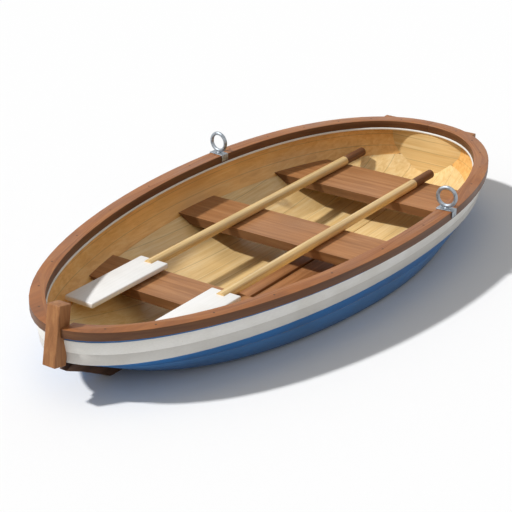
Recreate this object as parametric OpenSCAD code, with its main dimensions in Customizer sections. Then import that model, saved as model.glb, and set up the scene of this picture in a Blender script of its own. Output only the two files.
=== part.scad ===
// Wooden rowing boat: planked oval hull with a stem post and a transom,
// three thwarts, a pair of loose oars and two swivelling rowlocks.
// +X points to the bow, +Y to port, +Z up. The origin is amidships on the
// centreline at the waterline.

/* [Hull] */
// Length over the gunwale
hull_length = 3000; // [2800:10:3200]
// Height of the gunwale top above the waterline
freeboard = 335; // [320:5:345]
// Thickness of the planking
plank = 12; // [10:1:14]
// Thickness of the inner lining
lining = 6; // [5:1:8]
// Width of the keel
keel_width = 40; // [36:2:44]
// Depth of the keel below the planking
keel_depth = 60; // [50:2:70]

/* [Gunwale] */
// Width of the gunwale, seen from above
rail_width = 74; // [70:1:80]
// Height of the gunwale
rail_height = 38; // [34:1:42]
// Height of the painted stripe under the gunwale
stripe_height = 14; // [12:1:14]

/* [Stem and transom] */
// Width of the stem post
stem_width = 66; // [60:2:70]
// Fore-and-aft depth of the stem post
stem_depth = 67; // [60:1:72]
// Height of the stem head above the gunwale top
stem_head = 95; // [80:5:110]
// Inboard lean of the stem post in degrees
stem_lean = 11.4; // [8:0.2:13]
// Thickness of the transom
transom_thickness = 28; // [24:1:32]
// Half width of the transom at its top edge
transom_half = 268; // [262:2:272]

/* [Thwarts and floor] */
// Height of the thwart tops below the gunwale top
thwart_drop = 186; // [180:1:190]
// Thickness of the thwarts
thwart_thickness = 44; // [38:1:46]
// Height of the floorboard tops below the gunwale top
floor_drop = 324; // [322:1:326]
// Width of one floorboard
board_width = 112; // [100:2:114]
// Gap between two floorboards
board_gap = 18; // [14:1:20]

/* [Oars and rowlocks] */
// Length of an oar
oar_length = 2280; // [2200:10:2290]
// Radius of the oar shaft
shaft_radius = 24; // [22:0.5:25]
// Length of an oar blade
blade_length = 513; // [480:5:530]
// Width of an oar blade
blade_width = 156; // [140:2:164]
// Thickness of an oar blade
blade_thickness = 24; // [20:1:26]
// Length of an oar grip
grip_length = 176; // [150:2:190]
// Position of the rowlocks along the boat
rowlock_x = -447; // [-460:1:-430]
// Radius of the rowlock ring to the middle of its bar
ring_radius = 44; // [42:1:46]
// Half thickness of the rowlock ring's bar
ring_bar = 9; // [8:0.5:9.5]

/* [Hidden] */
$fn = 48;
mid_x = -164;                       // widest station
rail_half = 693;                    // half beam over the gunwale
bow_x = hull_length / 2 - 13;       // gunwale end at the stem
stern_x = -hull_length / 2;         // gunwale end behind the transom
transom_x = stern_x + 41;           // aft face of the transom
plank_end = transom_x + transom_thickness;
rail_top = freeboard;
rail_bottom = rail_top - rail_height;
stem_half = stem_width / 2;
keel_half = keel_width / 2;
bow_steps = 22;                     // stations from the stem to mid_x
stern_steps = 18;                   // stations from mid_x to the transom
bow_power = 1.9;                    // fullness of the bow's plan curve
stern_power = 2.2;                  // fullness of the stern's plan curve
rail_steps = 44;                    // stations along half of the gunwale
thwart_steps = 6;
fit_gap = 0.3;                      // clearance between loose pieces
stripe_inset = 17;                  // the stripe stands in from the gunwale's edge
stripe_width = 16;
stem_proud = 10;                    // stem's face ahead of the gunwale
apron_depth = 50;
transom_edge = 12;                  // transom's edge outside the planks
board_thickness = 16;
board_aft = -600;                   // aft end of the floorboards
board_fore = [640, 480];            // forward ends, middle and port boards
bearer_width = 44;
bearer_gap = 1.2;                   // bearers stand just clear of the lining
floor_skin = lining + 2;            // thickness of the floor's lining
thwart_ease = 2;                    // thwart ends stand in from the lining
keel_steps = 24;
keel_taper = 0.12;                  // keel grows shallower at each seam's end
keel_nose = [6, 44];                // the keel's forward end below the stem
keel_notch = [40, 26];
socket_radius = 12;
pin_radius = 8;
pin_clearance = 0.05;
plate_height = 4;
plate_length = 46;
cheek_drop = 30;
ring_lift = 3;                      // ring's clearance over its plate
ring_flat = 1;                      // depth of the bore cut into the ring's bar
lap = 47;                           // shaft's lap on the blade

// Aft edges of the cross pieces under the floorboards
bearers = [-520, -60, 420];

// The lines where the planks meet, from the gunwale down to the keel.
// Columns: half beam, depth below the gunwale top, end at the bow, half width
// there, rise there, half width at the transom, rise there, stern fullness.
HALF = 0;
DEPTH = 1;
BOW = 2;
BOW_HALF = 3;
BOW_RISE = 4;
STERN_HALF = 5;
STERN_RISE = 6;
STERN_POWER = 7;
seams = [
    [669,  52, 1470, 28,  0, 240,  0, 2.2],
    [659, 107, 1461, 28,  0, 232,  0, 2.2],
    [647, 157, 1455, 28,  0, 215,  0, 2.2],
    [613, 220, 1352, 16, 12, 172, 18, 2.0],
    [561, 323, 1195, 16, 35, 112, 70, 1.8],
    [405, 365, 1000, 16, 25,  60, 82, 1.7],
    [keel_half, 390, 760, keel_half, 20, keel_half, 90, 2.0],
];

// The edges of the floor lining, in the same columns.
floor_lines = [
    [597, 210, 1318, 24, 12, 141, 12, 2.0],
    [330, 353,  900, 21, 28,  70, 95, 1.8],
    [  2, 373,  720,  2, 20,   2, 95, 2.0],
];

// Thwarts. Columns: forward edge, width.
THWART_X = 0;
THWART_WIDTH = 1;
bow_seat = [743, 235];
middle_seat = [-65, 281];
stern_seat = [-790, 323];

// Oars. Columns: blade tip, distance from the centreline.
TIP = 0;
OFFSET = 1;
oar_starboard = [1013, -302];
oar_port = [1100, 161];

// ---- curves ----

// Fore-and-aft place of a point on a line, t from 0 (bow) to 2 (stern)
function line_x(line, t) =
    let(s = t < 1 ? 1 - t : t - 1)
    t < 1
        ? mid_x + (line[BOW] - mid_x) * pow(sin(90 * s), 2 / bow_power)
        : mid_x - (mid_x - plank_end) * pow(sin(90 * s), 2 / line[STERN_POWER]);

// Share of the way from the widest station to a line's end
function line_share(line, x) =
    min(x > mid_x ? (x - mid_x) / (line[BOW] - mid_x) : (mid_x - x) / (mid_x - plank_end), 1);

function line_y(line, x) =
    let(
        power = x > mid_x ? bow_power : line[STERN_POWER],
        end_half = x > mid_x ? line[BOW_HALF] : line[STERN_HALF],
        narrowing = 1 - pow(end_half / line[HALF], power)
    )
    line[HALF] * pow(1 - narrowing * pow(line_share(line, x), power), 1 / power);

function line_z(line, x) =
    rail_top - line[DEPTH] + (x > mid_x ? line[BOW_RISE] : line[STERN_RISE]) * pow(line_share(line, x), 4);

function line_point(line, t) =
    let(x = line_x(line, t))
    [x, line_y(line, x), line_z(line, x)];

stations = [
    for (i = [0:bow_steps]) i / bow_steps,
    for (i = [1:stern_steps]) 1 + i / stern_steps,
];

function unit(v) = v / norm(v);

// Outward normal of the surface between two lines at station i
function strip_normal(upper, lower, i) =
    let(
        last = len(stations) - 1,
        before = stations[max(i - 1, 0)],
        after = stations[min(i + 1, last)],
        along = line_point(upper, after) - line_point(upper, before)
            + line_point(lower, after) - line_point(lower, before),
        down = line_point(lower, stations[i]) - line_point(upper, stations[i])
    )
    unit(cross(down, along));

// Normal at a line shared by two strips, long enough to keep their thickness
function line_normal(lines, k, i) =
    let(
        above = k > 0 ? strip_normal(lines[k - 1], lines[k], i) : [0, 0, 0],
        below = k < len(lines) - 1 ? strip_normal(lines[k], lines[k + 1], i) : [0, 0, 0],
        share = unit(above + below),
        one = k > 0 ? above : below,
        normal = share / max(share * one, 0.5),
        level = k == 0 ? flatten(normal, [1, 1, 0]) : normal
    )
    i == len(stations) - 1 ? flatten(level, [0, 1, 1]) : level;

// A normal laid into a plane, so that a skin ends flat there
function flatten(v, keep) =
    let(kept = [v[0] * keep[0], v[1] * keep[1], v[2] * keep[2]])
    kept * (v * v) / max(kept * kept, 0.25 * (v * v));

// ---- lofts ----

// Closed solid through rings of equal length, with flat ends
module loft(rings) {
    n = len(rings[0]);
    last = len(rings) - 1;
    polyhedron(
        points = [for (ring = rings) each ring],
        faces = [
            [for (j = [0:n - 1]) j],
            for (i = [0:last - 1], j = [0:n - 1])
                let(a = i * n + j, b = i * n + (j + 1) % n)
                each j < n / 2
                    ? [[a, b + n, b], [a, a + n, b + n]]
                    : [[a, a + n, b], [b, a + n, b + n]],
            [for (j = [n - 1:-1:0]) last * n + j],
        ]
    );
}

// A skin between two of the given lines, from depth "out" to depth "in" under
// the outer surface
module skin(lines, first, final, out, in) {
    loft([
        for (i = [0:len(stations) - 1])
            [
                for (k = [first:final])
                    line_point(lines[k], stations[i]) - out * line_normal(lines, k, i),
                for (k = [final:-1:first])
                    line_point(lines[k], stations[i]) - in * line_normal(lines, k, i),
            ]
    ]);
}

// A strake between two seams, trimmed to the keel's sides and the stem post
module strake(k) {
    difference() {
        skin(seams, k, k + 1, 0, plank);
        translate([-hull_length, -keel_half, -hull_length])
            cube([2 * hull_length, keel_width, 2 * hull_length]);
        stem_block();
    }
}

module starboard() {
    mirror([0, 1, 0]) children();
}

// ---- planking ----

module sheer_strake() {
    color("gainsboro") strake(0);
}

module topside_strake() {
    color("lightgrey") strake(1);
}

module waterline_strake() {
    color("steelblue") strake(2);
}

module bilge_strake() {
    color("royalblue") strake(3);
}

module bottom_strake() {
    color("steelblue") strake(4);
}

module garboard_strake() {
    color("royalblue") strake(5);
}

// ---- lining ----

module side_lining() {
    color("burlywood") skin(seams, 0, 3, plank, plank + lining);
}

module floor_lining() {
    color("tan")
        loft([
            for (t = stations)
                [
                    for (k = [0:2]) line_point(floor_lines[k], t),
                    for (k = [2:-1:0]) line_point(floor_lines[k], t) + [0, 0, floor_skin],
                ]
        ]);
}

// ---- gunwale ----

// Half breadth of the gunwale's outer edge, moved in by inset
function rail_y(x, inset) =
    let(
        fore = x > mid_x,
        reach = fore ? bow_x - mid_x : mid_x - stern_x,
        power = fore ? bow_power : stern_power,
        u = min(abs(x - mid_x) / (reach - inset), 1)
    )
    (rail_half - inset) * pow(1 - pow(u, power), 1 / power);

function rail_x(t, inset) =
    let(fore = t < 0.5, reach = fore ? bow_x - mid_x : mid_x - stern_x)
    mid_x + (fore ? 1 : -1) * (reach - inset)
        * pow(abs(cos(180 * t)), 2 / (fore ? bow_power : stern_power));

// One edge of the half ring, from the stem round to the stern centreline
function rail_edge(inset) = [
    for (i = [0:rail_steps])
        let(x = rail_x(i / rail_steps, inset))
        [x, i == rail_steps ? 0 : rail_y(x, inset)]
];

// Half ring that follows the gunwale, in from its outer edge by inset
module rail_band(inset, width, bottom, top) {
    outer = rail_edge(inset);
    inner = rail_edge(inset + width);
    translate([0, 0, bottom])
        linear_extrude(top - bottom)
        difference() {
            polygon(concat(outer, [for (i = [rail_steps:-1:0]) inner[i]]));
            translate([0, -stem_half]) square([hull_length, stem_width]);
        }
}

module gunwale() {
    color("sienna")
        difference() {
            rail_band(0, rail_width, rail_bottom, rail_top);
            at_rowlock() translate([0, 0, -2 * rail_height]) cylinder(r = socket_radius, h = 3 * rail_height);
        }
}

module sheer_stripe() {
    color("navy")
        intersection() {
            rail_band(stripe_inset, stripe_width, rail_bottom - stripe_height, rail_bottom);
            translate([plank_end, 0, 0]) cube([hull_length, rail_half, freeboard]);
        }
}

// ---- stem, keel and transom ----

// Forward ends of the seams on the centreline, from the keel up to the stem
profile_ends = [for (k = [6:-1:2]) [seams[k][BOW], line_z(seams[k], seams[k][BOW])]];
toe = len(profile_ends) - 1;

module stem_block() {
    foot = seams[2][DEPTH];
    translate([bow_x + stem_proud, 0, rail_top])
        rotate([0, -stem_lean, 0])
        translate([-stem_depth, -stem_half, -foot])
        cube([stem_depth, stem_width, foot + stem_head]);
}

module stem_post() {
    color("peru") stem_block();
}

// Turns an X-Z outline into a plate on the centreline
module centre_plate(width) {
    translate([0, width / 2, 0])
        rotate([90, 0, 0])
        linear_extrude(width) children();
}

module bow_apron() {
    color("steelblue")
        centre_plate(keel_width)
        polygon(concat(
            profile_ends,
            [profile_ends[toe] - [apron_depth, 0]],
            [for (i = [toe - 1:-1:1]) profile_ends[i] + [-apron_depth, apron_depth / 2]],
            [profile_ends[0] + [0, plank]]
        ));
}

// The keel runs from under the transom up the bow, with a notch at the stem
module keel() {
    run = seams[6][BOW] - plank_end;
    along = [for (i = [0:keel_steps]) plank_end + run * i / keel_steps];
    transom_foot = line_z(seams[6], plank_end);
    color("saddlebrown")
        centre_plate(keel_width)
        polygon(concat(
            [[transom_x, transom_foot], [transom_x, transom_foot - keel_depth]],
            [for (x = along) [x, line_z(seams[6], x) - keel_depth]],
            [for (i = [1:toe - 1]) profile_ends[i] - [0, keel_depth * (1 - keel_taper * i)]],
            [profile_ends[toe] - keel_nose, profile_ends[toe] - keel_notch],
            [for (i = [toe - 1:-1:0]) profile_ends[i]],
            [for (i = [keel_steps:-1:0]) [along[i], line_z(seams[6], along[i]) + plank]],
            [[plank_end, transom_foot]]
        ));
}

module transom() {
    edges = [for (seam = seams) [seam[STERN_HALF] + transom_edge, line_z(seam, plank_end)]];
    foot = edges[6][1];
    half_outline = concat(
        [[0, rail_top], [transom_half, rail_top], [transom_half, edges[1][1]]],
        [for (k = [2:5]) edges[k]],
        [[keel_half, foot], [0, foot]]
    );
    color("sienna")
        difference() {
            translate([transom_x, 0, 0])
                rotate([90, 0, 90])
                linear_extrude(transom_thickness)
                union() {
                    polygon(half_outline);
                    mirror([1, 0]) polygon(half_outline);
                }
            translate([0, 0, rail_bottom])
                linear_extrude(rail_height + 1)
                union() {
                    polygon(concat(rail_edge(0), [[0, 0]]));
                    mirror([0, 1]) polygon(concat(rail_edge(0), [[0, 0]]));
                }
        }
}

// ---- thwarts and floor ----

function mix(a, b, share) = a + (b - a) * share;

// Half width of a surface between two lines, at a place and height
function width_between(upper, lower, x, z) =
    let(high = line_z(upper, x), low = line_z(lower, x))
    mix(line_y(upper, x), line_y(lower, x), (high - z) / (high - low));

// A thwart, its ends cut to the lining
module thwart(seat) {
    top = rail_top - thwart_drop;
    bottom = top - thwart_thickness;
    color("sienna")
        difference() {
            loft([
                for (i = [0:thwart_steps])
                    let(
                        x = seat[THWART_X] - seat[THWART_WIDTH] * i / thwart_steps,
                        wide = width_between(seams[2], seams[3], x, top) - plank - lining - thwart_ease,
                        narrow = width_between(floor_lines[0], floor_lines[1], x, bottom) - 2 * floor_skin
                    )
                    [[x, narrow, bottom], [x, -narrow, bottom], [x, -wide, top], [x, wide, top]]
            ]);
            side_lining();
            starboard() side_lining();
            floor_lining();
            starboard() floor_lining();
        }
}

// One board along the centreline and one to port of it
module floorboards() {
    top = rail_top - floor_drop;
    color("sienna")
        for (i = [0:1])
            translate([
                board_aft,
                i * (board_width + board_gap) - board_width / 2,
                top - board_thickness
            ])
            cube([board_fore[i] - board_aft, board_width, board_thickness]);
}

// Height of the floor lining's upper face
function floor_z(x, y) =
    let(
        side = floor_lines[1],
        centre = floor_lines[2],
        share = (y - line_y(centre, x)) / (line_y(side, x) - line_y(centre, x))
    )
    mix(line_z(centre, x), line_z(side, x), share) + floor_skin + bearer_gap;

module floor_bearers() {
    top = rail_top - floor_drop - board_thickness;
    edge = board_width / 2;
    far = edge + board_gap + board_width;
    color("peru")
        for (aft = bearers)
            translate([aft, 0, 0])
            rotate([90, 0, 90])
            linear_extrude(bearer_width)
            polygon([
                [-edge, top], [far, top],
                for (y = [far, bearer_width / 2])
                    [y, max(floor_z(aft, y), floor_z(aft + bearer_width, y))],
                for (y = [bearer_width / 2, edge])
                    [-y, max(floor_z(aft, y), floor_z(aft + bearer_width, y))],
            ]);
}

// ---- rowlocks ----

// Moves children to the rowlock's seat on the gunwale top, turned to the rail
module at_rowlock() {
    reach = plate_length / 2;
    slope = (rail_y(rowlock_x + reach, 0) - rail_y(rowlock_x - reach, 0)) / plate_length;
    translate([rowlock_x, rail_y(rowlock_x, rail_width / 2), rail_top])
        rotate([0, 0, atan(slope)]) children();
}

module rowlock_socket() {
    outer = rail_width / 2 + 1;
    color("slategrey")
        at_rowlock()
        difference() {
            union() {
                translate([-plate_length / 2, -outer - plate_height, 0])
                    cube([plate_length, 2 * (outer + plate_height), plate_height]);
                for (side = [-1, 1])
                    translate([-plate_length / 2, side * (outer + plate_height / 2) - plate_height / 2, -cheek_drop])
                    cube([plate_length, plate_height, cheek_drop]);
                translate([0, 0, -rail_height])
                    cylinder(r = socket_radius, h = rail_height + plate_height);
            }
            translate([0, 0, -rail_height - 1])
                cylinder(r = pin_radius + pin_clearance, h = rail_height + plate_height + 2);
        }
}

module rowlock() {
    centre = plate_height + ring_lift + ring_radius + ring_bar;
    color("silver")
        at_rowlock() {
            difference() {
                union() {
                    translate([0, 0, centre])
                        rotate([0, 90, 0])
                        rotate_extrude()
                        translate([ring_radius, 0]) circle(ring_bar);
                    translate([0, 0, 1 - rail_height])
                        cylinder(r = pin_radius, h = rail_height + plate_height + ring_lift + ring_bar);
                }
                translate([-2 * ring_bar, 0, centre])
                    rotate([0, 90, 0])
                    cylinder(r = ring_radius - ring_bar + ring_flat, h = 4 * ring_bar);
            }
        }
}

// ---- oars ----

oar_z = rail_top - thwart_drop + shaft_radius + fit_gap;

module along_x(from, length, radius) {
    translate([from, 0, 0]) rotate([0, 90, 0]) cylinder(r = radius, h = length);
}

module at_oar(oar) {
    translate([oar[TIP], oar[OFFSET], oar_z]) children();
}

module oar_shaft(oar) {
    lap_end = lap - blade_length;
    grip_end = grip_length - oar_length;
    color("burlywood")
        at_oar(oar)
        difference() {
            along_x(grip_end, lap_end - grip_end, shaft_radius);
            translate([-blade_length, -shaft_radius - 1, -shaft_radius - 1])
                cube([2 * lap, 2 * shaft_radius + 2, shaft_radius + 1 + blade_thickness / 2]);
        }
}

module oar_blade(oar) {
    color("white")
        at_oar(oar)
        translate([-blade_length, -blade_width / 2, -blade_thickness / 2])
        cube([blade_length, blade_width, blade_thickness]);
}

module oar_grip(oar) {
    color("saddlebrown") at_oar(oar) along_x(-oar_length, grip_length, shaft_radius - 1);
}

sheer_strake();  // sheer_strake_port
starboard() sheer_strake();  // sheer_strake_starboard
topside_strake();  // topside_strake_port
starboard() topside_strake();  // topside_strake_starboard
waterline_strake();  // waterline_strake_port
starboard() waterline_strake();  // waterline_strake_starboard
bilge_strake();  // bilge_strake_port
starboard() bilge_strake();  // bilge_strake_starboard
bottom_strake();  // bottom_strake_port
starboard() bottom_strake();  // bottom_strake_starboard
garboard_strake();  // garboard_strake_port
starboard() garboard_strake();  // garboard_strake_starboard
side_lining();  // side_lining_port
starboard() side_lining();  // side_lining_starboard
floor_lining();  // floor_lining_port
starboard() floor_lining();  // floor_lining_starboard
gunwale();  // gunwale_port
starboard() gunwale();  // gunwale_starboard
sheer_stripe();  // sheer_stripe_port
starboard() sheer_stripe();  // sheer_stripe_starboard
stem_post();
bow_apron();
keel();
transom();
thwart(bow_seat);  // bow_thwart
thwart(middle_seat);  // middle_thwart
thwart(stern_seat);  // stern_thwart
floorboards();
floor_bearers();
rowlock_socket();  // rowlock_socket_port
starboard() rowlock_socket();  // rowlock_socket_starboard
rowlock();  // rowlock_port
starboard() rowlock();  // rowlock_starboard
oar_shaft(oar_port);  // oar_shaft_port
oar_blade(oar_port);  // oar_blade_port
oar_grip(oar_port);  // oar_grip_port
oar_shaft(oar_starboard);  // oar_shaft_starboard
oar_blade(oar_starboard);  // oar_blade_starboard
oar_grip(oar_starboard);  // oar_grip_starboard
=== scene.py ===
import math
import bpy
import bmesh
from mathutils import Matrix, Vector


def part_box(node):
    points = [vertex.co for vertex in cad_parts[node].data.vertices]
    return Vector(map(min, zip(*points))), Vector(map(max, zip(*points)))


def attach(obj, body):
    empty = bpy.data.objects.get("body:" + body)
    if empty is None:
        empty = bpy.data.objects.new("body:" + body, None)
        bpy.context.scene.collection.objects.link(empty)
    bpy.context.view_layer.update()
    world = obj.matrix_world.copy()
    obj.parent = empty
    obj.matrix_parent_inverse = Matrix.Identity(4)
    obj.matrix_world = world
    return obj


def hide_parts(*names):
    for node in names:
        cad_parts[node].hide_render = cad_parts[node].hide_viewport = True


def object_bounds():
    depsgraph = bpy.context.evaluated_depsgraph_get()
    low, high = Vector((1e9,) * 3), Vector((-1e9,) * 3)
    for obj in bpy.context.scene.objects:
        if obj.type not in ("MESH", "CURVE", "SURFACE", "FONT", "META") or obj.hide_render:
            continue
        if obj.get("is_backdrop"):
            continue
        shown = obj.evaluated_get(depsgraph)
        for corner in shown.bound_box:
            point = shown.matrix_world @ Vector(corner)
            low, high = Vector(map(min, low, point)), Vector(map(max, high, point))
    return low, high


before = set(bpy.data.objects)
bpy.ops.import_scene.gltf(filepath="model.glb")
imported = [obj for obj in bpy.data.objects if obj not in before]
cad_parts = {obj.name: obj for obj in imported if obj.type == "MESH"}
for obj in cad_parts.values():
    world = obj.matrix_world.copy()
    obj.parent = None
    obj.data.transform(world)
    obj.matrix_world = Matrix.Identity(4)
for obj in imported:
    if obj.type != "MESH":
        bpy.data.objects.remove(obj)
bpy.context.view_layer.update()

print("frame loaded")

# the boat's leading measures in metres: from the gunwale's box, then the plan curve of its outer edge
railLow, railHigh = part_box("gunwale_port")
railTop = railHigh[2]
railFoot = railLow[2]
halfBeam = railHigh[1]
sternX = railLow[0]
bowX = 1.487
widestX = -0.164
bowFullness = 1.9
sternFullness = 2.2
railWidth = 0.074
stemHalf = 0.033
rowlockX = -0.447
sides = {"port": 1, "starboard": -1}


def toLinear(hexColour, alpha=1.0):
    channels = [int(hexColour[i:i + 2], 16) / 255 for i in (0, 2, 4)]
    return [c / 12.92 if c <= 0.04045 else ((c + 0.055) / 1.055) ** 2.4 for c in channels] + [alpha]


def addNode(tree, kind, settings=None, links=None):
    node = tree.nodes.new(kind)
    for name, value in (settings or {}).items():
        if isinstance(name, int) or name in node.inputs:
            node.inputs[name].default_value = value
        else:
            setattr(node, name, value)
    for name, source in (links or {}).items():
        tree.links.new(source, node.inputs[name])
    return node


# the short forms below each add one node and give back the socket that carries its result
def noise(tree, vector, settings):
    return addNode(tree, "ShaderNodeTexNoise", settings, {"Vector": vector}).outputs[0]


def stretch(tree, vector, scale):
    return addNode(tree, "ShaderNodeMapping", {"Scale": scale}, {"Vector": vector}).outputs[0]


def remap(tree, value, before, after):
    limits = {"From Min": before[0], "From Max": before[1], "To Min": after[0], "To Max": after[1]}
    return addNode(tree, "ShaderNodeMapRange", limits, {"Value": value}).outputs[0]


def multiply(tree, colour, tone):
    settings = {"data_type": "RGBA", "blend_type": "MULTIPLY", 0: 1.0}
    return addNode(tree, "ShaderNodeMix", settings, {6: colour, 7: tone}).outputs[2]


def cover(tree, colour, coat, amount):
    settings = {"data_type": "RGBA", 7: toLinear(coat)}
    return addNode(tree, "ShaderNodeMix", settings, {0: amount, 6: colour}).outputs[2]


def bandColour(tree, value, stops):
    ramp = addNode(tree, "ShaderNodeValToRGB", {}, {"Fac": value})
    elements = ramp.color_ramp.elements
    while len(elements) < len(stops):
        elements.new(0.5)
    for element, (position, colour) in zip(elements, stops):
        element.position = position
        element.color = toLinear(colour)
    return ramp.outputs[0]


def splitAxes(tree, vector):
    return addNode(tree, "ShaderNodeSeparateXYZ", {}, {0: vector}).outputs


def joinAxes(tree, x, y, z):
    return addNode(tree, "ShaderNodeCombineXYZ", {}, {0: x, 1: y, 2: z}).outputs[0]


def upwardness(tree):
    return splitAxes(tree, addNode(tree, "ShaderNodeNewGeometry").outputs["Normal"])[2]


def roughen(tree, shader, height, strength, distance):
    bump = addNode(tree, "ShaderNodeBump", {"Strength": strength, "Distance": distance}, {"Height": height})
    tree.links.new(bump.outputs[0], shader.inputs["Normal"])


def newMaterial(name):
    material = bpy.data.materials.new(name)
    material.use_nodes = True
    tree = material.node_tree
    shader = next(n for n in tree.nodes if n.type == "BSDF_PRINCIPLED")
    return material, tree, shader


def addPiece(name, data, material, body):
    piece = bpy.data.objects.new(name, data)
    bpy.context.scene.collection.objects.link(piece)
    data.materials.clear()
    data.materials.append(material)
    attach(piece, body)
    return piece


def smoothMesh(name, bm, sharpDegrees):
    mesh = bpy.data.meshes.new(name)
    bm.to_mesh(mesh)
    bm.free()
    mesh.shade_smooth()
    mesh.set_sharp_from_angle(angle=math.radians(sharpDegrees))
    return mesh


def flatMesh(name, bm):
    mesh = bpy.data.meshes.new(name)
    bm.to_mesh(mesh)
    bm.free()
    return mesh


# which way the grain runs: along one axis of a straight piece, or round the curved gunwale
def grainVector(tree, along):
    place = addNode(tree, "ShaderNodeTexCoord").outputs["Object"]
    if along == "x":
        return place
    x, y, z = splitAxes(tree, place)
    if along == "y":
        return joinAxes(tree, y, x, z)
    if along == "z":
        return joinAxes(tree, z, x, y)
    turn, out, _ = splitAxes(tree, addNode(tree, "ShaderNodeUVMap", {"uv_map": "rail"}).outputs[0])
    return joinAxes(tree, turn, out, z)


# sawn and planed wood: growth figure, fine fibres, pores and a worn finish
def makeWood(name, look):
    material, tree, shader = newMaterial(name)
    vector = grainVector(tree, look["along"])
    figureScale = (1 / look["figureLength"], 1 / look["figureWidth"], 1 / look["figureWidth"])
    fibreScale = (1 / look["fibreLength"], 1 / look["fibreWidth"], 1 / look["fibreWidth"])
    growth = noise(tree, stretch(tree, vector, figureScale),
                   {"Scale": 1.0, "Detail": 4.0, "Roughness": 0.55, "Distortion": 0.6})
    strands = noise(tree, stretch(tree, vector, fibreScale), {"Scale": 1.0, "Detail": 3.0, "Roughness": 0.6})
    blotch = noise(tree, vector, {"Scale": 3.2, "Detail": 2.0})
    colour = bandColour(tree, growth, [(0.3, look["dark"]), (0.5, look["middle"]), (0.68, look["light"])])
    colour = multiply(tree, colour, remap(tree, strands, (0.3, 0.62), (look["fibreTone"], 1.0)))
    colour = multiply(tree, colour, remap(tree, blotch, (0.35, 0.65), (0.9, 1.06)))
    if "paintedSideShade" in look:
        # painted shade: upright faces are darker than the tops
        colour = multiply(tree, colour, remap(tree, upwardness(tree), (0.25, 0.8), (look["paintedSideShade"], 1.0)))
    if "boards" in look:
        # narrow boards laid side by side, with a fine dark joint between them
        across = splitAxes(tree, vector)[look["boardAxis"]]
        lane = addNode(tree, "ShaderNodeMath", {"operation": "PINGPONG", 1: look["boards"] / 2}, {0: across})
        joint = remap(tree, lane.outputs[0], (0.0008, 0.0022), (look["jointTone"], 1.0))
        colour = multiply(tree, colour, joint)
    tree.links.new(colour, shader.inputs["Base Color"])
    wear = (look["roughness"] - 0.08, look["roughness"] + 0.1)
    tree.links.new(remap(tree, blotch, (0.3, 0.7), wear), shader.inputs["Roughness"])
    roughen(tree, shader, strands, look["bump"], 0.0012)
    shader.inputs["IOR"].default_value = 1.5
    shader.inputs["Coat Weight"].default_value = look["coat"]
    shader.inputs["Coat Roughness"].default_value = 0.18
    shader.inputs["Specular IOR Level"].default_value = 0.35
    return material


# brushed enamel over planed wood: long brush lines, slight yellowing, chips, and stain near the water
def makePaint(name, look):
    material, tree, shader = newMaterial(name)
    vector = addNode(tree, "ShaderNodeTexCoord").outputs["Object"]
    brush = noise(tree, stretch(tree, vector, (2.2, 160.0, 160.0)),
                  {"Scale": 1.0, "Detail": 3.0, "Roughness": 0.55})
    cloud = noise(tree, vector, {"Scale": 5.0, "Detail": 3.0})
    colour = bandColour(tree, cloud, [(0.32, look["shade"]), (0.6, look["colour"])])
    colour = multiply(tree, colour, remap(tree, brush, (0.3, 0.7), (0.955, 1.02)))
    # small chips where the coat is rubbed through
    flakes = noise(tree, vector, {"Scale": 46.0, "Detail": 5.0, "Roughness": 0.62})
    chips = remap(tree, flakes, (look["chips"], look["chips"] + 0.03), (0.0, 0.55))
    colour = cover(tree, colour, look["under"], chips)
    wet = remap(tree, splitAxes(tree, vector)[2], (0.035, 0.0), (0.0, look["grime"]))
    stain = addNode(tree, "ShaderNodeMath", {"operation": "MULTIPLY"}, {0: wet, 1: cloud}).outputs[0]
    colour = cover(tree, colour, "5b5a44", stain)
    if "inside" in look:
        # only the outside is painted: faces that look up into the boat are varnished
        colour = cover(tree, colour, look["inside"], remap(tree, upwardness(tree), (0.2, 0.3), (0.0, 1.0)))
    tree.links.new(colour, shader.inputs["Base Color"])
    tree.links.new(remap(tree, cloud, (0.3, 0.7), (0.34, 0.5)), shader.inputs["Roughness"])
    roughen(tree, shader, brush, 0.18, 0.0006)
    shader.inputs["IOR"].default_value = 1.48
    shader.inputs["Specular IOR Level"].default_value = 0.4
    return material


# weathered metal: a faint crystal pattern and darker worn spots
def makeMetal(name, look):
    material, tree, shader = newMaterial(name)
    place = addNode(tree, "ShaderNodeTexCoord").outputs["Object"]
    crystals = addNode(tree, "ShaderNodeTexVoronoi", {"Scale": 230.0}, {"Vector": place}).outputs["Distance"]
    grime = noise(tree, place, {"Scale": 60.0, "Detail": 4.0})
    colour = bandColour(tree, grime, [(0.35, look["dark"]), (0.55, look["colour"])])
    colour = multiply(tree, colour, remap(tree, crystals, (0.0, 1.0), (0.9, 1.05)))
    tree.links.new(colour, shader.inputs["Base Color"])
    wear = (look["roughness"] - 0.1, look["roughness"] + 0.1)
    tree.links.new(remap(tree, grime, (0.3, 0.7), wear), shader.inputs["Roughness"])
    roughen(tree, shader, grime, 0.12, 0.0004)
    shader.inputs["Metallic"].default_value = look["metallic"]
    return material
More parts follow.
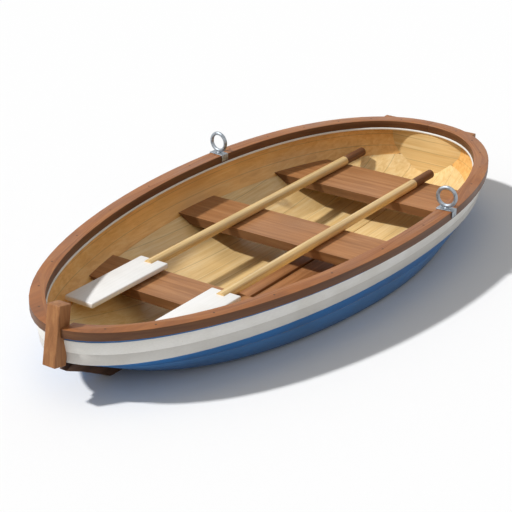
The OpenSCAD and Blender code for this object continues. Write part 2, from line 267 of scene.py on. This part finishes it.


# looks of the woods: lengths and widths of the figure and the fibres are in metres; the side tone is painted
# shade on upright faces
gunwaleLook = {
    "along": "rail", "dark": "865027", "middle": "9b6032", "light": "aa703e",
    "figureLength": 0.35, "figureWidth": 0.014, "fibreLength": 0.05, "fibreWidth": 0.0016,
    "fibreTone": 0.82, "roughness": 0.5, "bump": 0.35, "coat": 0.06, "paintedSideShade": 0.38,
}
thwartLook = {
    "along": "y", "dark": "906037", "middle": "a67246", "light": "b58255",
    "figureLength": 0.5, "figureWidth": 0.03, "fibreLength": 0.06, "fibreWidth": 0.0018,
    "fibreTone": 0.84, "roughness": 0.5, "bump": 0.35, "coat": 0.08, "paintedSideShade": 0.5,
}
boardLook = {
    "along": "x", "dark": "8a5a34", "middle": "a26d42", "light": "b37d50",
    "figureLength": 0.5, "figureWidth": 0.02, "fibreLength": 0.06, "fibreWidth": 0.0018,
    "fibreTone": 0.82, "roughness": 0.56, "bump": 0.4, "coat": 0.05,
}
transomLook = dict(thwartLook, paintedSideShade=0.85, dark="8c5a30", middle="a36c3f", light="b57e4e")
stemLook = dict(boardLook, along="z", dark="86552b", middle="9c673a", light="ac7847", figureLength=0.25)
keelLook = {
    "along": "x", "dark": "472e1d", "middle": "573a26", "light": "674731",
    "figureLength": 0.5, "figureWidth": 0.02, "fibreLength": 0.05, "fibreWidth": 0.0018,
    "fibreTone": 0.8, "roughness": 0.6, "bump": 0.45, "coat": 0.0,
}
# the inside walls' deeper orange than the floor is painted shade
shadeTintedSideLiningLook = {
    "along": "x", "dark": "e2a85c", "middle": "f0b96c", "light": "f6c67e",
    "figureLength": 0.6, "figureWidth": 0.018, "fibreLength": 0.07, "fibreWidth": 0.0018,
    "fibreTone": 0.93, "roughness": 0.4, "bump": 0.15, "coat": 0.15,
    "boards": 0.062, "boardAxis": 2, "jointTone": 0.72,
}
floorLiningLook = dict(shadeTintedSideLiningLook, dark="e0ba7a", middle="ebc98c", light="f2d59e",
                       boards=0.09, boardAxis=1)
sternPanelLook = dict(floorLiningLook, along="y", boards=0.062, boardAxis=2)
shaftLook = {
    "along": "x", "dark": "d2ab6c", "middle": "dfbd80", "light": "e9cd96",
    "figureLength": 0.6, "figureWidth": 0.009, "fibreLength": 0.07, "fibreWidth": 0.0012,
    "fibreTone": 0.88, "roughness": 0.36, "bump": 0.2, "coat": 0.3,
}
gripLook = {
    "along": "x", "dark": "5d3a20", "middle": "6f472a", "light": "805636",
    "figureLength": 0.2, "figureWidth": 0.008, "fibreLength": 0.04, "fibreWidth": 0.0012,
    "fibreTone": 0.82, "roughness": 0.62, "bump": 0.4, "coat": 0.0,
}

# looks of the paints and metals
whiteLook = {"colour": "e9e7e2", "shade": "dedbd3", "under": "b9a98c", "chips": 0.7, "grime": 0.0}
# the lower white strake's greyer colour is painted shade
shadedWhiteLook = dict(whiteLook, colour="d0cdc7", shade="c6c2bb")
bladeLook = {"colour": "f1f0ed", "shade": "e8e6e1", "under": "cdbf9f", "chips": 0.71, "grime": 0.0}
blueLook = {
    "colour": "2467a4", "shade": "205c92", "under": "8ba0ae", "chips": 0.7, "grime": 0.7, "inside": "c9995c",
}
# a lighter blue that is painted light bounced up from below
bounceLitBlueLook = {
    "colour": "4575a8", "shade": "3d6b9b", "under": "8ba0ae", "chips": 0.69, "grime": 0.9, "inside": "c9995c",
}
ironLook = {"colour": "a4abb2", "dark": "7b838b", "metallic": 0.75, "roughness": 0.42}
copperLook = {"colour": "a8744e", "dark": "6f4a33", "metallic": 0.85, "roughness": 0.45}

materials = {
    # red-brown rail, grain bending with the curve, its upright faces painted nearly black-brown as shade
    "gunwaleMahogany": makeWood("gunwaleMahogany", gunwaleLook),
    # warm seats with the grain across the boat, their front edges painted darker as shade
    "thwartMahogany": makeWood("thwartMahogany", thwartLook),
    # the stern board, as warm as the seats, its upright faces a little darker as painted shade
    "transomMahogany": makeWood("transomMahogany", transomLook),
    # duller, trodden boards underfoot
    "floorboardLarch": makeWood("floorboardLarch", boardLook),
    # upright grain on the post that closes the bow
    "stemOak": makeWood("stemOak", stemLook),
    # the dark line under the hull, also plugs and bearers
    "keelOak": makeWood("keelOak", keelLook),
    # honey-coloured inside walls with fine joints and a soft sheen, a deeper orange than the floor as painted
    # shade
    "shadeTintedWallLining": makeWood("shadeTintedWallLining", shadeTintedSideLiningLook),
    # paler straw-coloured bottom, the brightest wood in the boat
    "varnishedFloorLining": makeWood("varnishedFloorLining", floorLiningLook),
    # the same straw colour carried across the stern, grain crosswise
    "varnishedSternPanel": makeWood("varnishedSternPanel", sternPanelLook),
    # pale, glossy oar shafts that stand out over the seats
    "varnishedSpruceShaft": makeWood("varnishedSpruceShaft", shaftLook),
    # dark, hand-worn ends of the oars
    "gripLeatherBrownWood": makeWood("gripLeatherBrownWood", gripLook),
    # clean off-white top strake and bead
    "whiteEnamel": makePaint("whiteEnamel", whiteLook),
    # a greyer white painted on the lower white strake as shade, so that the crease between the two white
    # strakes shows
    "paintedShadeWhiteEnamel": makePaint("paintedShadeWhiteEnamel", shadedWhiteLook),
    # the whitest paint, on the blades
    "bladeEnamel": makePaint("bladeEnamel", bladeLook),
    # strong blue band at and above the water
    "blueEnamel": makePaint("blueEnamel", blueLook),
    # a lighter blue between and below, painted as light bounced up from the floor, stained at the water's
    # edge
    "paintedBounceBlueEnamel": makePaint("paintedBounceBlueEnamel", bounceLitBlueLook),
    # cool dull grey fittings
    "galvanisedIron": makeMetal("galvanisedIron", ironLook),
    # small brown glints of nails and screws
    "copperNail": makeMetal("copperNail", copperLook),
}
print("materials made")


# plan curve of the gunwale's outer edge moved in by inset, from the stem round to the stern centreline
def railPoint(turn, inset):
    fore = turn < 0.5
    reach = (bowX - widestX if fore else widestX - sternX) - inset
    power = bowFullness if fore else sternFullness
    across = abs(math.cos(math.pi * turn)) ** (2 / power)
    side = max(0.0, 1 - across ** power) ** (1 / power)
    return widestX + (reach if fore else -reach) * across, (halfBeam - inset) * side


# the gunwale's own map: metres along the rail for a radian, and metres across it
railMap = {"along": 1.1, "across": 0.95}


def addRailMap(bm):
    layer = bm.loops.layers.uv.new("rail")
    for face in bm.faces:
        for loop in face.loops:
            x, y, _ = loop.vert.co
            reach = bowX - widestX if x > widestX else widestX - sternX
            turn = math.atan2(abs(y) / halfBeam, (x - widestX) / reach)
            out = math.hypot((x - widestX) / reach, y / halfBeam)
            loop[layer].uv = (turn * railMap["along"], out * railMap["across"])


# what counts as one place, one flat face, an edge to ease and an edge to keep sharp
dressing = {"weld": 0.00002, "flatDegrees": 0.4, "easeDegrees": 35.0, "sharpDegrees": 32}


# a copy of a CAD node with eased edges and smooth curves, standing for the node
def dressNode(node, materialName, ease, segments=2, body="hull"):
    bm = bmesh.new()
    bm.from_mesh(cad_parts[node].data)
    bmesh.ops.remove_doubles(bm, verts=bm.verts, dist=dressing["weld"])
    flat = math.radians(dressing["flatDegrees"])
    bmesh.ops.dissolve_limit(bm, angle_limit=flat, verts=bm.verts, edges=bm.edges)
    if ease > 0:
        bend = math.radians(dressing["easeDegrees"])
        edges = [e for e in bm.edges if len(e.link_faces) == 2 and e.calc_face_angle(0) > bend]
        bmesh.ops.bevel(bm, geom=edges, offset=ease, affect="EDGES", segments=segments, profile=0.5,
                        material=-1, clamp_overlap=True)
    if node.startswith("gunwale"):
        addRailMap(bm)
    mesh = smoothMesh(node + "_dressed", bm, dressing["sharpDegrees"])
    piece = addPiece(node + "_dressed", mesh, materials[materialName], body)
    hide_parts(node)


# a node that comes in pairs: material, eased edge in metres, segments of the easing
pairTable = {
    "sheer_strake": ("whiteEnamel", 0.0014, 2),
    "topside_strake": ("paintedShadeWhiteEnamel", 0.0014, 2),
    "waterline_strake": ("blueEnamel", 0.0014, 2),
    "bilge_strake": ("paintedBounceBlueEnamel", 0.0014, 2),
    "bottom_strake": ("blueEnamel", 0.0014, 2),
    "garboard_strake": ("paintedBounceBlueEnamel", 0.0014, 2),
    "side_lining": ("shadeTintedWallLining", 0.0, 2),
    "floor_lining": ("varnishedFloorLining", 0.0, 2),
    "gunwale": ("gunwaleMahogany", 0.005, 3),
    "sheer_stripe": ("blueEnamel", 0.003, 2),
}
# and one that stands alone
singleTable = {
    "stem_post": ("stemOak", 0.004, 3),
    "keel": ("keelOak", 0.003, 2),
    "transom": ("transomMahogany", 0.003, 2),
    "bow_thwart": ("thwartMahogany", 0.0045, 3),
    "middle_thwart": ("thwartMahogany", 0.0045, 3),
    "stern_thwart": ("thwartMahogany", 0.0045, 3),
    "floorboards": ("floorboardLarch", 0.0025, 2),
}
for stem, row in pairTable.items():
    for side in sides:
        dressNode(stem + "_" + side, *row)
for node, row in singleTable.items():
    dressNode(node, *row)
for side in sides:
    dressNode("oar_blade_" + side, "bladeEnamel", 0.006, segments=3, body="oar_" + side)
    dressNode("rowlock_socket_" + side, "galvanisedIron", 0.001)
print("CAD pieces dressed")

# nodes that keep their own mesh
keptMaterials = {
    "bow_apron": "blueEnamel", "floor_bearers": "keelOak",
    "rowlock_port": "galvanisedIron", "rowlock_starboard": "galvanisedIron",
    "oar_shaft_port": "varnishedSpruceShaft", "oar_shaft_starboard": "varnishedSpruceShaft",
    "oar_grip_port": "gripLeatherBrownWood", "oar_grip_starboard": "gripLeatherBrownWood",
}
for node, materialName in keptMaterials.items():
    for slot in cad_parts[node].material_slots:
        slot.material = materials[materialName]


def vertsOf(result, key="geom"):
    return [v for v in result[key] if isinstance(v, bmesh.types.BMVert)]


# whether the way from one flat place to the next turns right, or not at all, at a third
def turnsRight(first, second, third):
    ahead = (second[0] - first[0]) * (third[1] - first[1])
    return ahead - (second[1] - first[1]) * (third[0] - first[0]) <= 0


# the outermost of some flat places, in order round them
def outlineOf(places):
    places = sorted(set(places))
    halves = []
    for run in (places, places[::-1]):
        half = []
        for place in run:
            while len(half) > 1 and turnsRight(half[-2], half[-1], place):
                half.pop()
            half.append(place)
        halves.append(half[:-1])
    return halves[0] + halves[1]


# the varnished panel that carries the lining across the transom's inner face
sternPanel = {"thickness": 0.004, "gap": 0.0002, "ease": 0.02, "near": 0.001}


def makeSternPanel():
    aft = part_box("side_lining_port")[0][0]
    places = []
    for stem in ("side_lining_", "floor_lining_"):
        for side in sides:
            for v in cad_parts[stem + side].data.vertices:
                if v.co.x < aft + sternPanel["near"]:
                    places.append((v.co.y, v.co.z))
    top = max(z for _, z in places) - sternPanel["near"]
    reach = max(y for y, z in places if z > top) - sternPanel["ease"]
    places += [(reach, railFoot), (-reach, railFoot)]
    bm = bmesh.new()
    face = bm.faces.new([bm.verts.new((aft + sternPanel["gap"], y, z)) for y, z in outlineOf(places)])
    grown = bmesh.ops.extrude_face_region(bm, geom=[face])
    bmesh.ops.translate(bm, vec=(sternPanel["thickness"], 0, 0), verts=vertsOf(grown))
    bmesh.ops.recalc_face_normals(bm, faces=bm.faces)
    addPiece("stern_panel", flatMesh("stern_panel", bm), materials["varnishedSternPanel"],
             "hull")


makeSternPanel()

# a white bead under the gunwale's inner edge: it starts clear of the stem
bead = {"radius": 0.0062, "inset": 0.072, "steps": 60, "start": 0.015, "lift": 0.0004}


def makeBead(side, sign):
    turns = [bead["start"] + i / bead["steps"] * (1 - bead["start"]) for i in range(bead["steps"] + 1)]
    points = [railPoint(turn, bead["inset"]) for turn in turns]
    points = [(x, y) for x, y in points if y > stemHalf or x < 0]
    curve = bpy.data.curves.new("inner_bead_" + side, "CURVE")
    curve.dimensions = "3D"
    curve.bevel_depth = bead["radius"]
    curve.bevel_resolution = 3
    curve.use_fill_caps = True
    line = curve.splines.new("POLY")
    line.points.add(len(points) - 1)
    height = railFoot - bead["radius"] + bead["lift"]
    for point, (x, y) in zip(line.points, points):
        point.co = (x, sign * y, height, 1)
    addPiece("inner_bead_" + side, curve, materials["whiteEnamel"], "hull")


for side, sign in sides.items():
    makeBead(side, sign)

# every head narrows a little to its face and is let in by a hair
heads = {"corners": 14, "taper": 0.8, "sink": 0.0002, "sharpDegrees": 30}


# round heads set nearly flush: places are (x, y, z) on the face that they sit in
def makeHeads(name, places, radius, height, material):
    bm = bmesh.new()
    for x, y, z in places:
        middle = Matrix.Translation((x, y, z + height / 2 - heads["sink"]))
        bmesh.ops.create_cone(bm, cap_ends=True, segments=heads["corners"], radius1=radius,
                              radius2=radius * heads["taper"], depth=height, matrix=middle)
    addPiece(name, smoothMesh(name, bm, heads["sharpDegrees"]), material, "hull")


# wooden plugs over the gunwale's screws, none under a rowlock's plate
plugs = {"count": 13, "radius": 0.0052, "height": 0.0006, "first": 0.09, "span": 0.84, "clear": 0.05}
for side, sign in sides.items():
    spots = []
    for i in range(plugs["count"]):
        x, y = railPoint(plugs["first"] + plugs["span"] * i / (plugs["count"] - 1), railWidth / 2)
        if abs(x - rowlockX) > plugs["clear"]:
            spots.append((x, sign * y, railTop))
    makeHeads("gunwale_plugs_" + side, spots, plugs["radius"], plugs["height"],
              materials["keelOak"])

# copper nails through the floorboards into the bearers
nails = {
    "bearers": (-0.498, -0.038, 0.442), "boards": (0.0, 0.13), "apart": 0.036,
    "radius": 0.0038, "height": 0.0007,
}
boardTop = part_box("floorboards")[1][2]
spots = [(x, y + step, boardTop)
         for x in nails["bearers"] for y in nails["boards"] for step in (-nails["apart"], nails["apart"])]
makeHeads("floorboard_nails", spots, nails["radius"], nails["height"], materials["copperNail"])

# screws at the thwart ends, further in where the hull narrows
thwartInsets = {"bow_thwart": 0.16, "middle_thwart": 0.06, "stern_thwart": 0.16}
thwartScrews = {"reach": 0.3, "radius": 0.0045, "height": 0.0007}
spots = []
for node, inset in thwartInsets.items():
    low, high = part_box(node)
    middle, reach = (low[0] + high[0]) / 2, (high[0] - low[0]) * thwartScrews["reach"]
    for x in (middle - reach, middle + reach):
        for sign in (-1, 1):
            spots.append((x, sign * (high[1] - inset), high[2]))
makeHeads("thwart_screws", spots, thwartScrews["radius"], thwartScrews["height"],
          materials["copperNail"])

# domed screws in the rowlock plates, and a collar under each ring
plateScrews = {"along": 0.014, "across": 0.026, "radius": 0.0042, "height": 0.0014}
collar = {"foot": 0.0135, "top": 0.0095, "depth": 0.0062, "middle": 0.0034, "ease": 0.0008}
for side in sides:
    low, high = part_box("rowlock_socket_" + side)
    x, y = (low[0] + high[0]) / 2, (low[1] + high[1]) / 2
    along, across = plateScrews["along"], plateScrews["across"]
    spots = [(x + dx, y + dy, high[2]) for dx in (-along, along) for dy in (-across, across)]
    makeHeads("rowlock_screws_" + side, spots, plateScrews["radius"], plateScrews["height"],
              materials["galvanisedIron"])
    bm = bmesh.new()
    place = Matrix.Translation((x, y, high[2] + collar["middle"]))
    bmesh.ops.create_cone(bm, cap_ends=True, segments=40, radius1=collar["foot"], radius2=collar["top"],
                          depth=collar["depth"], matrix=place)
    rim = [e for e in bm.edges if e.calc_face_angle(0) > 0.6]
    bmesh.ops.bevel(bm, geom=rim, offset=collar["ease"], affect="EDGES", segments=2, profile=0.5, material=-1)
    name = "rowlock_collar_" + side
    addPiece(name, smoothMesh(name, bm, 40), materials["galvanisedIron"], "rowlock_" + side)
print("trim made")

# how far inside the planking the floor's hole lies, and how far the floor runs, in metres
floorLook = {"colour": "f2f2f2", "tuck": 0.985, "reach": 40}


# the floor at the waterline has a hole inside the planking, so that it doesn't show in the boat
def makeFloor():
    section = bmesh.new()
    for stem in ("bottom_strake_", "garboard_strake_", "bilge_strake_"):
        for side in sides:
            section.from_mesh(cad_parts[stem + side].data)
    everything = section.verts[:] + section.edges[:] + section.faces[:]
    cut = bmesh.ops.bisect_plane(section, geom=everything, plane_co=(0, 0, 0), plane_no=(0, 0, 1))
    outline = outlineOf([(v.co.x, v.co.y) for v in vertsOf(cut, "geom_cut")])
    section.free()
    middle = sum(x for x, _ in outline) / len(outline)
    tuck = floorLook["tuck"]
    bm = bmesh.new()
    rim = [bm.verts.new((middle + (x - middle) * tuck, y * tuck, 0)) for x, y in outline]
    edges = [bm.edges.new(pair) for pair in zip(rim, rim[1:] + rim[:1])]
    for v in vertsOf(bmesh.ops.extrude_edge_only(bm, edges=edges)):
        v.co = Vector((v.co.x - middle, v.co.y, 0)).normalized() * floorLook["reach"]
    for face in bm.faces:
        if face.normal.z < 0:
            face.normal_flip()
    material, tree, shader = newMaterial("studioFloor")
    shader.inputs["Base Color"].default_value = toLinear(floorLook["colour"])
    shader.inputs["Roughness"].default_value = 0.9
    shader.inputs["Specular IOR Level"].default_value = 0.0
    mesh = flatMesh("studio_floor", bm)
    mesh.materials.append(material)
    floor = bpy.data.objects.new("studio_floor", mesh)
    bpy.context.scene.collection.objects.link(floor)
    floor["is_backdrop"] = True


makeFloor()

# a soft sun from high over the starboard bow
sun = bpy.data.lights.new("key", "SUN")
sun.energy = 3.0
sun.angle = math.radians(4)
sunObject = bpy.data.objects.new("key", sun)
bpy.context.scene.collection.objects.link(sunObject)
sunObject.rotation_euler = Vector((0.47, -0.46, 0.753)).to_track_quat("Z", "Y").to_euler()

# an even white sky, full white where it is seen straight, in a reflection or through a gap
world = bpy.data.worlds.new("studio")
bpy.context.scene.world = world
world.use_nodes = True
worldTree = world.node_tree
worldTree.nodes.clear()
soft = addNode(worldTree, "ShaderNodeBackground", {"Color": toLinear("ffffff"), "Strength": 0.4})
plain = addNode(worldTree, "ShaderNodeBackground", {"Color": toLinear("ffffff"), "Strength": 1.0})
path = addNode(worldTree, "ShaderNodeLightPath")
seen = path.outputs["Is Camera Ray"]
for kind in ("Is Glossy Ray", "Is Transmission Ray"):
    either = {0: seen, 1: path.outputs[kind]}
    seen = addNode(worldTree, "ShaderNodeMath", {"operation": "MAXIMUM"}, either).outputs[0]
chosen = addNode(worldTree, "ShaderNodeMixShader", {}, {0: seen, 1: soft.outputs[0], 2: plain.outputs[0]})
addNode(worldTree, "ShaderNodeOutputWorld", {}, {0: chosen.outputs[0]})

# a long lens off the port bow, looking down on the gunwale
lens = {"away": (5.237, 3.600), "above": 2.571, "pitch": 66.15, "turn": 125.25, "length": 105.47}
camera = bpy.data.objects.new("camera", bpy.data.cameras.new("camera"))
bpy.context.scene.collection.objects.link(camera)
camera.data.sensor_width = 36
camera.data.lens = lens["length"]
camera.location = (*lens["away"], lens["above"] + railTop)
camera.rotation_euler = (math.radians(lens["pitch"]), 0, math.radians(lens["turn"]))
camera.data.clip_end = 200
bpy.context.scene.camera = camera
bpy.context.scene.view_settings.view_transform = "Standard"
print("stage set")

low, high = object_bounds()
